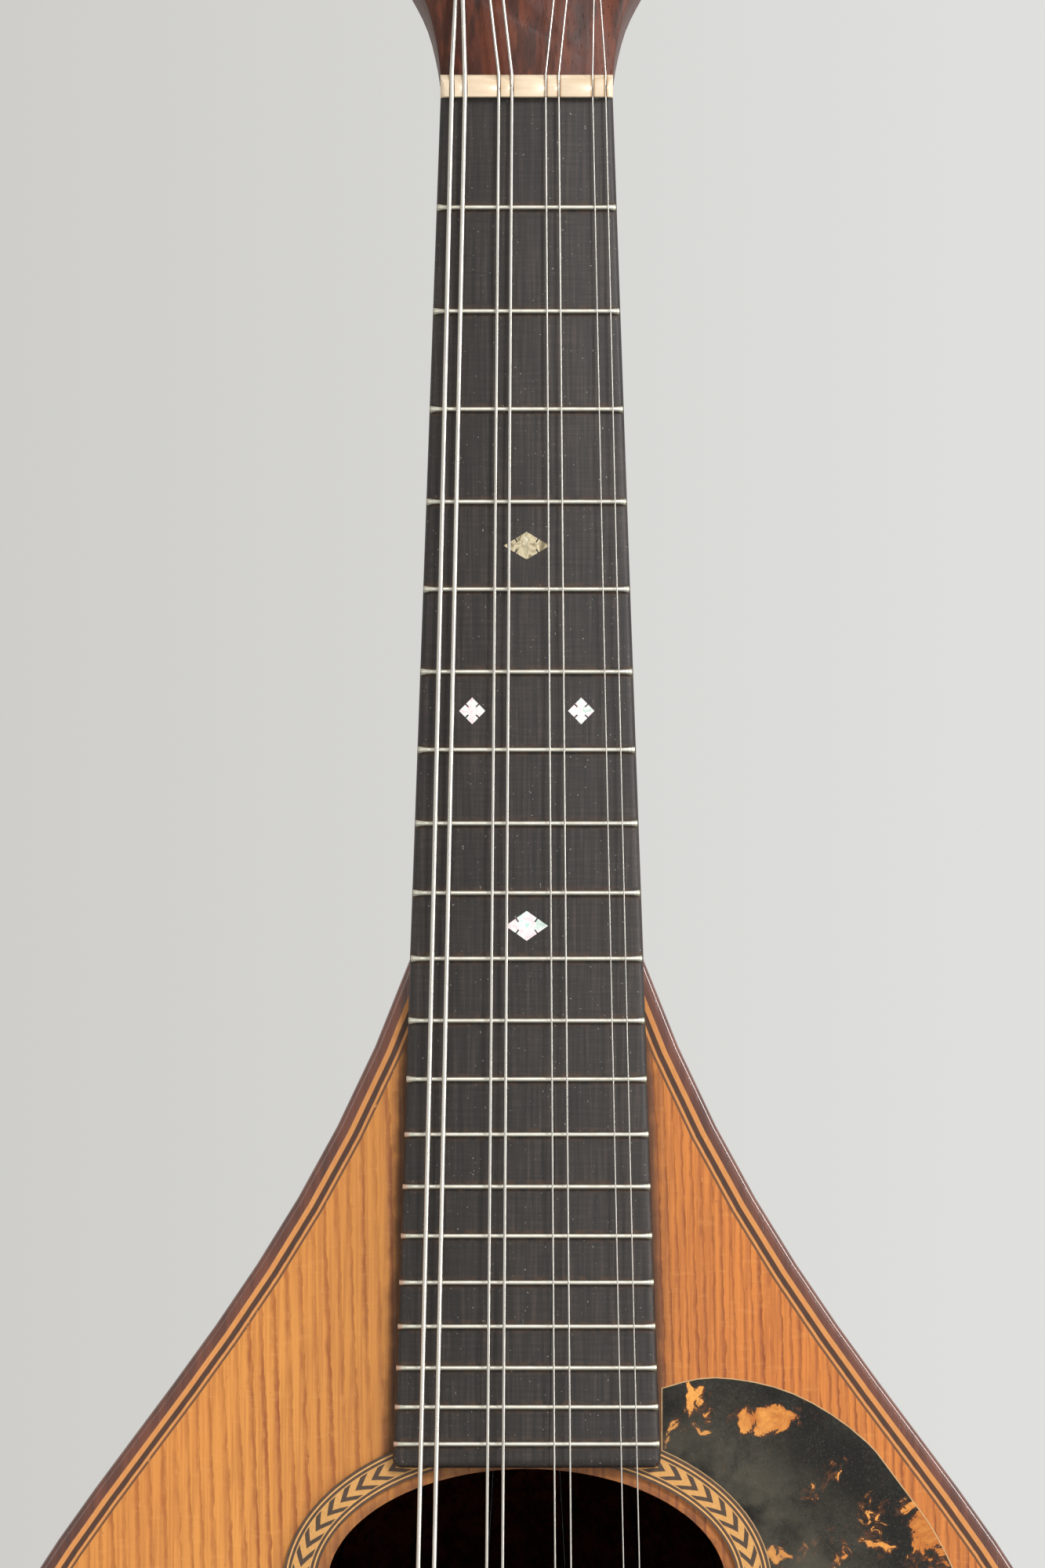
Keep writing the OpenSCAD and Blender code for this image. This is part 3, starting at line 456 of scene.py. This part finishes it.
def oval_ring(inner, outer, slices=240, cuts=4):
    """A flat oval ring with a map of millimetres from the board's side and of its width."""
    shape = bmesh.new()
    bmesh.ops.create_grid(shape, x_segments=slices, y_segments=cuts, size=0.5)
    turns = np.linspace(0, 2 * math.pi, 721)
    middle = (inner + outer) / 2
    reach_x = hole_half.x / MM + middle
    reach_z = hole_half.y / MM + middle
    steps = np.hypot(reach_x * np.cos(turns), reach_z * np.sin(turns)) * (turns[1] - turns[0])
    walked = np.concatenate([[0], np.cumsum(steps[1:])])
    spots = shape.loops.layers.uv.new("walk")
    for f in shape.faces:
        for loop in f.loops:
            turn = (loop.vert.co.x + 0.5) * 2 * math.pi
            far = float(np.interp(turn, turns, walked))
            loop[spots].uv = (min(far, walked[-1] - far), loop.vert.co.y + 0.5)
    for v in shape.verts:
        turn = (v.co.x + 0.5) * 2 * math.pi
        grow = (inner + (outer - inner) * (v.co.y + 0.5)) * MM
        v.co = Vector(((hole_half.x + grow) * math.sin(turn), face_y - inlay_proud * MM,
                       hole_z + (hole_half.y + grow) * math.cos(turn)))
    bmesh.ops.remove_doubles(shape, verts=shape.verts, dist=1e-6)
    bmesh.ops.solidify(shape, geom=shape.faces[:], thickness=-rosette_t * MM)
    bmesh.ops.recalc_face_normals(shape, faces=shape.faces)
    return shape


herringbone, place = start("herringbone", Roughness=0.45)
walk = place.node("ShaderNodeUVMap", {"uv_map": "walk"}, 0)
u, v_across = walk.split("X"), walk.split("Y")
fold = abs(v_across - 0.5) * 2
beat = (u / chevron_l + fold * 0.8).math("FRACT")
worn = place.noise(420, 3)
grain = place.noise(1500, 3)
dark_tile = beat.step(0.03, 0.08) - beat.step(0.46, 0.51)
dark_tone = grain.mix(paint(48, 34, 24), paint(84, 62, 46))
light_tone = grain.mix(paint(184, 130, 68), paint(212, 160, 92))
tiles = dark_tile.mix(light_tone, dark_tone)
edge_lines = 1 - fold.step(0.86, 0.9)
tiles = edge_lines.mix(paint(200, 148, 84), tiles)
near_board = place.split("Z").step(hole_z + hole_half.y, hole_z + hole_half.y + 0.012)
tiles = (near_board * worn.step(0.25, 0.55) * 0.7).mix(tiles, paint(96, 74, 46))
feed(herringbone, Base_Color=tiles, Normal=(dark_tile * 0.3 + grain).bump(0.00006))
piece(oval_ring(*rosette_edges[1:3]), "rosette_chevrons", herringbone, ["rosette_band"])

line_wood, place = start("rosette_veneers", Roughness=0.45)
across = place.node("ShaderNodeUVMap", {"uv_map": "walk"}, 0).split("Y")
grain = place.noise(900, 3)
middle_line = across.step(0.36, 0.42) - across.step(0.58, 0.64)
line_tone = middle_line.mix(grain.mix(paint(54, 38, 28), paint(92, 66, 46)),
                            grain.mix(paint(196, 140, 78), paint(224, 172, 102)))
feed(line_wood, Base_Color=line_tone, Normal=grain.bump(0.00005))
lines = oval_ring(*rosette_edges[:2], cuts=2)
outer_lines = bpy.data.meshes.new("outer_lines")
other = oval_ring(*rosette_edges[2:], cuts=2)
other.to_mesh(outer_lines)
other.free()
lines.from_mesh(outer_lines)
piece(lines, "rosette_fine_lines", line_wood, ["rosette_lines"])

# ---- Pickguard ----
# A thin shell-pattern plate let in flush with the top: dark charcoal with a fine speckle and
# ragged amber patches that have brown fringes. A pale line of glue shows along its edge.
shell, place = start("shell_plate", Specular_IOR_Level=0.25)
warp = place.node("ShaderNodeVectorMath", {"operation": "ADD"}, Vector=place,
                  Vector_001=place.noise(70, 3, 0.6, out="Color").stretch(0.022, 0.022, 0.022))
patch = warp.noise(150, 5, 0.66)
x, z = place.split("X"), place.split("Z") - hole_z
lift = (1 - z.step(-0.008, 0.009)) * 0.09
blotches = ((47, 32, 9, 3, 0.2), (51, 19, 4, 3, 0.1), (76, 12, 5, 5, 0.2), (58, 7, 14, 4, 0.11),
            (31, 31, 4, 5, 0.06), (79, 5, 6, 6, 0.14))
for right, up, wide, tall, strength in blotches:
    far = (((x - right * MM) / (wide * MM)) ** 2 + ((z - up * MM) / (tall * MM)) ** 2) ** 0.5
    lift = lift + (1 - far.step(0.2, 1.5)) * strength
amber = (patch + lift).step(0.645, 0.67)
fringe = (patch + lift).step(0.585, 0.65)
speckle = place.noise(1500, 2)
dust = place.noise(3200, 2).step(0.6, 0.7)
cloudy = place.noise(60, 3).step(0.35, 0.7)
charcoal = speckle.mix(paint(14, 12, 10), cloudy.mix(paint(30, 27, 23), paint(62, 58, 50)))
tone = (fringe * 0.8).mix(charcoal, paint(84, 48, 28))
tone = amber.mix(tone, patch.ramp((0.5, paint(176, 104, 46)), (0.7, paint(226, 156, 76))))
tone = (dust * 0.14).mix(tone, paint(120, 122, 108))
from_hole = ((x / hole_half.x) ** 2 + (z / hole_half.y) ** 2) ** 0.5
handled = (1 - from_hole.step(1.35, 1.9)) * place.noise(140, 3).step(0.3, 0.65)
tone = (handled * 0.3).mix(tone, paint(112, 106, 90))
feed(shell, Base_Color=tone, Roughness=speckle * 0.2 + 0.25, Normal=(speckle + dust).bump(0.00004))
glue_line, place = start("glue_line", Roughness=0.5)
feed(glue_line, Base_Color=place.noise(500, 3).mix(paint(150, 112, 72), paint(206, 170, 122)))
glue_w = 0.22
guard = copy_of("pickguard")
faces = [f for f in guard.faces if f.normal.y < -0.9]
bmesh.ops.inset_region(guard, faces=faces, thickness=glue_w * MM, use_even_offset=True)
for f in guard.faces:
    f.material_index = 1
for f in faces:
    f.material_index = 0
piece(guard, "shell_guard", [shell, glue_line], ["pickguard"])

# ---- Neck and head ----
# The neck and head are one reddish hardwood, carved and oiled. The head leans back, and a
# rosewood plate covers its face.
neck_wood, place = start("neck_hardwood", Specular_IOR_Level=0.3)
grain = place.stretch(1, 1, 0.04).noise(380, 4)
pores = place.stretch(1, 1, 0.02).noise(2400, 2).step(0.6, 0.7)
tone = grain.ramp((0.32, paint(50, 24, 16)), (0.52, paint(84, 42, 27)), (0.7, paint(62, 31, 21)))
feed(neck_wood, Base_Color=(pores * 0.5).mix(tone, paint(54, 28, 18)),
     Roughness=grain * 0.2 + 0.34, Normal=(1 - pores * 0.4).bump(0.0001))
neck = copy_of("neck", flat=False)
bmesh.ops.join_triangles(neck, faces=neck.faces, angle_face_threshold=math.radians(40),
                         angle_shape_threshold=math.radians(60))
piece(neck, "neck_shaft", neck_wood, ["neck"], sharp=50)
piece(copy_of("headstock", 0.9, 3, 60), "head_wood", neck_wood, ["headstock"])

plate_wood, place, wood, streak, pores = rosewood("headplate_rosewood", 0.0, 0.3)
veins = place.stretch(1, 1, 0.06).noise(230, 3, 0.7).step(0.5, 0.6)
wood = (veins * 0.55).mix((streak * 0.5).mix(wood, paint(104, 52, 24)), paint(24, 11, 7))
feed(plate_wood, Base_Color=wood, Roughness=streak * 0.2 + 0.38,
     Normal=(1 - pores * 0.4).bump(0.00012))
piece(copy_of("headplate", 0.35, 2, 60), "head_face", plate_wood, ["headplate"])

# ---- Fingerboard ----
# A wedge of black-stained ebony glued over neck and top. Its long edges and its end are rounded
# by hand and by wear, brown grime lies along the frets, and a crack runs up from the far end.
board_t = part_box("fingerboard")[1].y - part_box("fingerboard")[0].y
board_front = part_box("fingerboard")[0].y
scale_len = 375
end_corner_r = 1.7
long_edge_r = 1.9
board = bmesh.new()
corners = [board.verts.new((x_side * half, board_front + board_t, z_end))
           for x_side, half, z_end in ((-1, board_half_nut, nut_z), (1, board_half_nut, nut_z),
                                       (1, board_half_end, board_end_z),
                                       (-1, board_half_end, board_end_z))]
base = board.faces.new(corners)
top = bmesh.ops.extrude_face_region(board, geom=[base])
raised = [g for g in top["geom"] if isinstance(g, bmesh.types.BMVert)]
bmesh.ops.translate(board, verts=raised, vec=(0, -board_t, 0))
bmesh.ops.recalc_face_normals(board, faces=board.faces)
upright = [e for e in board.edges if all(abs(v.co.z - board_end_z) < 1e-6 for v in e.verts)
           and abs(e.verts[0].co.y - e.verts[1].co.y) > board_t / 2]
bmesh.ops.bevel(board, geom=upright, offset=end_corner_r * MM, segments=5, profile=0.5,
                affect="EDGES", clamp_overlap=True, material=-1)
shoulder = [e for e in board.edges if all(abs(v.co.y - board_front) < 1e-6 for v in e.verts)
            and not all(abs(v.co.z - nut_z) < 1e-6 for v in e.verts)]
bmesh.ops.bevel(board, geom=shoulder, offset=long_edge_r * MM, segments=4, profile=0.5,
                affect="EDGES", clamp_overlap=True, material=-1)


def past_nearest_fret(z):
    """How many frets a height is past the nearest one, and the string length left below it."""
    left = (scale_len * MM - (nut_z - z)).math("MAXIMUM", 0.02)
    count = (left / (scale_len * MM)).math("LOGARITHM", 2.0) * -12
    return count - count.math("ROUND"), left


ebony, place = start("fingerboard_ebony")
x, z = place.split("X"), place.split("Z")
fibre = place.stretch(1, 1, 0.03).noise(1500, 4, 0.65)
hatch = place.stretch(0.06, 1, 1).noise(1500, 3, 0.6)
broad = place.stretch(1, 1, 0.25).noise(60, 3)
tone = (fibre * 0.6 + hatch * 0.25 + broad * 0.15).ramp(
    (0.36, paint(16, 12, 11)), (0.5, paint(34, 27, 24)), (0.64, paint(60, 50, 45)))
past_fret, fret_l = past_nearest_fret(z)
to_fret = abs(past_fret) * fret_l * (math.log(2) / 12)
grime = (1 - to_fret.step(0.0005, 0.0016)) * (nut_z - z).step(0.012, 0.016)
tone = (grime * place.noise(500, 3).step(0.35, 0.65) * 0.7).mix(tone, paint(78, 54, 34))
specks = place.noise(2100, 1).step(0.755, 0.775)
tone = (specks * 0.7).mix(tone, paint(150, 146, 138))
crack_x = (nut_z - z).step(0.19, 0.262) * -0.001 + 0.0053 \
    + (place.stretch(0, 0, 1).noise(45, 2) - 0.5) * 0.0014
crack = (1 - abs(x - crack_x).step(0.00004, 0.00016)) * (nut_z - z).step(0.186, 0.2)
tone = crack.mix(tone, paint(10, 8, 7))
feed(ebony, Base_Color=tone, Roughness=fibre * 0.25 + 0.36 + grime * 0.15,
     Normal=(fibre * 0.6 + hatch * 0.4 - crack * 3).bump(0.00005))
piece(board, "fingerboard_wood", ebony, ["fingerboard"], sharp=40)

# ---- Frets ----
# Twenty bars of old nickel silver with rounded crowns, bright on top, with painted shade at the
# foot and on the half facing down the strings. Their ends run down over the board's rounded edge
# and are filed flat; on the bass side they show copper.
fret_n = 20
fret_w = 0.9
fret_h = 1.1


def fret_down(n):
    return scale_len * (1 - 2 ** (-n / 12))


def board_half_at(down):
    share = down * MM / (nut_z - board_end_z)
    return (board_half_nut + (board_half_end - board_half_nut) * share) / MM


frets = bmesh.new()
for n in range(1, fret_n + 1):
    down = fret_down(n)
    half = board_half_at(down)
    bar = bmesh.new()
    bmesh.ops.create_circle(bar, cap_ends=True, segments=12, radius=fret_w / 2)
    for v in bar.verts:
        v.co = Vector((-half + 0.1, -v.co.x, v.co.y if v.co.y > 0 else v.co.y * 1.6))
    stations = [0.5, 1.0, 2.0, 2 * half - 2.2, 2 * half - 1.2, 2 * half - 0.7, 2 * half - 0.2]
    ends = bar.faces[:]
    for reach_to in stations:
        out = bmesh.ops.extrude_face_region(bar, geom=ends)
        rim = [g for g in out["geom"] if isinstance(g, bmesh.types.BMVert)]
        ends = [g for g in out["geom"] if isinstance(g, bmesh.types.BMFace)]
        here = sum((v.co.x for v in rim), 0.0) / len(rim)
        bmesh.ops.translate(bar, verts=rim, vec=(reach_to - half - here, 0, 0))
    for v in bar.verts:
        from_end = half - abs(v.co.x)
        dip = max(0.0, 1.5 - from_end)
        wide = 1 + 0.42 * min(1.0, dip) * (1 if v.co.x > 0 or n < 13 else 0.25)
        v.co = at(v.co.x, down + v.co.y * wide,
                  board_t / MM + fret_h - fret_w / 2 + v.co.z - 0.42 * dip ** 1.6)
    bmesh.ops.recalc_face_normals(bar, faces=bar.faces)
    bar_mesh = bpy.data.meshes.new("bar")
    bar.to_mesh(bar_mesh)
    bar.free()
    frets.from_mesh(bar_mesh)
fret_metal, place = start("fret_nickel_silver", Metallic=0.9)
x, z = place.split("X"), place.split("Z")
board_half = (nut_z - z) * board_taper + board_half_nut
tarnish = place.noise(420, 4)
# Painted shade: each fret's colour darkens towards its foot on the board
shaded_fret_foot = place.split("Y").step(board_front - 0.0009, board_front - 0.0001)
metal = tarnish.mix(paint(222, 216, 200), paint(244, 240, 228))
metal = (shaded_fret_foot * 0.55).mix(metal, paint(150, 132, 98))
past_fret, fret_l = past_nearest_fret(z)
# Painted shade: the half of each fret that faces down the strings, away from the light, is painted
# darker
shaded_lower_half = (past_fret * fret_l * (math.log(2) / 12)).step(0.0, 0.00028)
metal = (shaded_lower_half * 0.75).mix(metal, paint(122, 124, 120))
bass_end = (-x - board_half).step(-0.0045, -0.003)
metal = (bass_end * 0.3).mix(metal, paint(196, 196, 176))
copper = (-x - board_half).step(-0.0012, -0.0008) * (nut_z - z).step(0.18, 0.2)
metal = (copper * 0.7).mix(metal, paint(206, 166, 144))
treble_tip = (x - board_half).step(-0.0012, -0.0008)
metal = (treble_tip * 0.6).mix(metal, paint(150, 152, 132))
feed(fret_metal, Base_Color=metal, Roughness=tarnish * 0.3 + 0.22 + shaded_fret_foot * 0.15,
     Normal=tarnish.bump(0.00003))
piece(frets, "fret_bars", fret_metal, ["frets"], sharp=50)

# ---- Inlays ----
# Nicked rhombuses of mother of pearl at the fifth, seventh and tenth frets, let in flush. Each
# has cloudy bands of cream, pink and green.
pearl, place = start("pearl", Roughness=0.18, Coat_Weight=0.4, Coat_Roughness=0.08)
swirl = place.stretch(1, 1, 0.7).noise(260, 3, out="Color")
bands = place.node("ShaderNodeVectorMath", {"operation": "ADD"}, Vector=place,
                   Vector_001=swirl.stretch(0.006, 0.006, 0.006)).noise(420, 2)
fifth = place.split("Z").step(nut_z - 0.113, nut_z - 0.109)
white = bands.ramp((0.34, paint(196, 214, 204)), (0.46, paint(246, 244, 238)),
                   (0.55, paint(236, 206, 212)), (0.62, paint(250, 248, 242)),
                   (0.72, paint(190, 222, 214)))
gold = bands.ramp((0.34, paint(128, 116, 88)), (0.5, paint(206, 192, 158)),
                  (0.6, paint(160, 148, 118)), (0.7, paint(222, 212, 186)))
feed(pearl, Base_Color=fifth.mix(white, gold), Roughness=bands * 0.3 + 0.08)
marks = copy_of("inlays")
bmesh.ops.translate(marks, verts=marks.verts, vec=(0, -inlay_proud * MM, 0))
piece(marks, "pearl_marks", pearl, ["inlays"])

# ---- Nut and saddle ----
# Bone, polished, with faint lengthwise streaks and a little grime in the string slots.
bone, place = start("bone", Coat_Weight=0.25, Coat_Roughness=0.15)
streaks = place.stretch(0.12, 1, 1).noise(900, 3)
cloud = place.noise(160, 3)
tone = (streaks * 0.5 + cloud * 0.5).ramp(
    (0.34, paint(204, 180, 148)), (0.5, paint(216, 195, 168)), (0.66, paint(224, 206, 182)))
nut_spread = 26.9
nut_pair = 2.5
courses_right = 0.4
course_gap = nut_spread * MM / 3
course = (place.split("X") - courses_right * MM) / course_gap + 0.5
to_slot = abs(abs(course - course.math("ROUND")) * course_gap - nut_pair / 2 * MM)
slot_grime = (1 - to_slot.step(0.0003, 0.0006)) * place.split("Z").step(nut_z - 0.001, nut_z)
tone = (slot_grime * 0.7).mix(tone, paint(150, 112, 66))
feed(bone, Base_Color=tone, Roughness=cloud * 0.2 + 0.26, Normal=streaks.bump(0.00003))
piece(copy_of("nut", 0.22), "bone_nut", bone, ["nut"])
piece(copy_of("saddle", 0.12), "bone_saddle", bone, ["saddle"])

# ---- Bridge and end pin ----
# Turned and carved ebony with a satin polish. String pressure alone holds the bridge.
black_wood, place = start("ebony_polished", Coat_Weight=0.15, Coat_Roughness=0.2)
grain = place.stretch(0.06, 1, 1).noise(900, 4)
feed(black_wood, Base_Color=grain.ramp((0.35, paint(24, 20, 18)), (0.65, paint(52, 42, 36))),
     Roughness=grain * 0.25 + 0.22, Normal=grain.bump(0.00006))
piece(copy_of("bridge", 0.4, 3), "ebony_bridge", black_wood, ["bridge"])
piece(copy_of("end_pin", 0.6, 3), "ebony_end_pin", black_wood, ["end_pin"])


# ---- Tailpiece and its cover ----
# A nickel-plated sheet bent over the tail with eight hooks, under a pressed cover of the same
# sheet. The plating is bright, a little clouded, with hairline scratches.
def plated(name, first, second, rough):
    made, place = start(name, Metallic=1.0)
    cloud = place.noise(60, 4)
    fine = place.noise(1800, 2)
    scratch = place.stretch(0.05, 1, 1).noise(1600, 2).step(0.66, 0.7)
    return feed(made, Base_Color=cloud.mix(first, second),
                Roughness=cloud * 0.16 + rough + scratch * 0.12,
                Normal=(fine * 0.3 - scratch * 0.5).bump(0.00002))


nickel = plated("nickel_plating", paint(196, 194, 186), paint(222, 220, 212), 0.16)
piece(copy_of("tailpiece", 0.2), "tailpiece_hooks", nickel, ["tailpiece"])
piece(copy_of("tailpiece_cover", 0.35, 3), "tailpiece_lid", nickel, ["tailpiece_cover"])

# ---- Tuners ----
# Two open rows: brass plates with lugs hold steel worms, which turn brass gears pressed on steel
# posts. Each worm's shaft carries a cream button. Bushings line the posts' holes in the face.
brass = plated("lacquered_brass", paint(186, 146, 78), paint(214, 176, 104), 0.22)
steel = plated("plated_steel", paint(176, 174, 170), paint(206, 204, 200), 0.2)
for node in ("tuner_plates", "bushings"):
    piece(copy_of(node, 0.2), node + "_brass", brass, [node])
piece(copy_of("screws", 0.1, 1), "slotted_screws", steel, ["screws"])

cream, place = start("cream_plastic", Coat_Weight=0.3, Coat_Roughness=0.1)
cloud = place.noise(120, 3)
feed(cream, Base_Color=cloud.mix(paint(228, 214, 180), paint(240, 230, 204)),
     Roughness=cloud * 0.15 + 0.22, Normal=place.noise(900, 2).bump(0.00002))
for i in range(1, 9):
    piece(copy_of(f"post_{i}", 0.12), f"string_post_{i}", steel, [f"post_{i}"],
          f"post_{i}")
    piece(copy_of(f"gear_{i}", 0.1, 1, 60), f"gear_wheel_{i}", brass, [f"gear_{i}"],
          f"post_{i}")
    piece(copy_of(f"worm_{i}", flat=False), f"worm_screw_{i}", steel, [f"worm_{i}"],
          f"button_{i}")
    piece(copy_of(f"button_{i}", 0.7, 3), f"tuning_button_{i}", cream, [f"button_{i}"],
          f"button_{i}")

# ---- Strings ----
# Four pairs. The bass pair is wound with round wire over a core, the others are plain steel.
# Each runs from its hook over saddle and nut and is wound two turns and a bit round its post.
string_n = 8
post_n = 4
gauges = [0.97, 0.61, 0.36, 0.25]
wound = 2
saddle_down = 376.2
hook_down = 477.04
seat_up = 6.5
saddle_up = 9.509
nut_fall = 0.5
nut_l = 4.4
head_angle = math.radians(12)
saddle_spread = 43.1
hook_spread = 31
tail_pair = 3.2
hook_up = 3.2
post_x = 15.8
first_post = 24
post_pitch = 23
waist_r = 2.1
coil_turns = 2.25
coil_up = [6.2, 8, 7.5, 7.5]
wrap_pitch = 0.32
wrap_depth = 0.07


def string_x(j, spread, pair, shift=courses_right):
    return (j // 2 - 1.5) * spread / 3 + (j % 2 - 0.5) * pair + shift


def on_head(across, along, up):
    """A place in the head's own leaning frame, along it from the nut and out of its face."""
    return at(across, -(nut_l + along * math.cos(head_angle) + up * math.sin(head_angle)),
              -along * math.sin(head_angle) + up * math.cos(head_angle))


def string_path(j):
    r = gauges[j // 2] / 2
    k = j if j < post_n else string_n - 1 - j
    side_of = -1 if j < post_n else 1
    round_r = waist_r + 0.1 + r
    coil = [on_head(side_of * (post_x - round_r * math.cos(a)),
                    first_post + post_pitch * k + round_r * math.sin(a),
                    coil_up[k] - (2 * r + 0.03) * a / (2 * math.pi))
            for a in np.arange(0, 2 * math.pi * coil_turns, math.radians(12))]
    ends = [at(string_x(j, hook_spread, tail_pair, 0), hook_down,
               hook_up - (hook_down - bend_down) * cant_fall),
            at(string_x(j, saddle_spread, tail_pair), saddle_down, saddle_up + r),
            at(string_x(j, nut_spread, nut_pair), 0, seat_up + r),
            at(string_x(j, nut_spread, nut_pair), -nut_l, seat_up + r - nut_fall)]
    return np.array([tuple(p) for p in ends + coil])


def wire(path, radius, step, sides, pitch=0.0, depth=0.0):
    """A round wire along a path; pitch and depth cut the round wrap of a wound string into it."""
    gaps = np.linalg.norm(np.diff(path, axis=0), axis=1)
    length = np.concatenate([[0], np.cumsum(gaps)])
    wanted = np.unique(np.concatenate([np.arange(0, length[-1], step), length]))
    line = np.stack([np.interp(wanted, length, path[:, i]) for i in range(3)], axis=1)
    ahead = np.gradient(line, wanted, axis=0)
    ahead /= np.linalg.norm(ahead, axis=1)[:, None]
    out_of_top = np.array((0.0, -1.0, 0.0))
    first = np.cross(ahead, out_of_top)
    first /= np.linalg.norm(first, axis=1)[:, None]
    second = np.cross(first, ahead)
    shape = bmesh.new()
    bmesh.ops.create_grid(shape, x_segments=len(wanted) - 1, y_segments=sides, size=0.5)
    for v in shape.verts:
        i = round((v.co.x + 0.5) * (len(wanted) - 1))
        a = (v.co.y + 0.5) * 2 * math.pi
        wave = abs(math.sin(math.pi * (wanted[i] / pitch + a / (2 * math.pi)))) if pitch else 1.0
        r = radius - depth * (1 - wave)
        v.co = Vector(line[i] + r * (math.cos(a) * first[i] + math.sin(a) * second[i]))
    bmesh.ops.remove_doubles(shape, verts=shape.verts, dist=radius * 0.02)
    bmesh.ops.holes_fill(shape, edges=[e for e in shape.edges if e.is_boundary], sides=0)
    bmesh.ops.recalc_face_normals(shape, faces=shape.faces)
    return shape


def string_metal(name, first, second, rough):
    made, place = start(name, Metallic=1.0)
    tarnish = place.stretch(1, 1, 0.2).noise(300, 3)
    return feed(made, Base_Color=tarnish.mix(first, second), Roughness=tarnish * 0.2 + rough)


plain_steel = string_metal("plain_string", paint(176, 172, 165), paint(212, 208, 200), 0.2)
wrap_metal = string_metal("wound_string", paint(190, 185, 176), paint(224, 219, 210), 0.22)
for j in range(string_n):
    radius = gauges[j // 2] / 2 * MM
    if j < wound:
        made = wire(string_path(j), radius, wrap_pitch / 4 * MM, 8,
                    wrap_pitch * MM, wrap_depth * MM)
    else:
        made = wire(string_path(j), radius, 4 * MM, 12)
    piece(made, f"string_{j + 1}", wrap_metal if j < wound else plain_steel,
          ["strings"] if j == 0 else (), sharp=None)
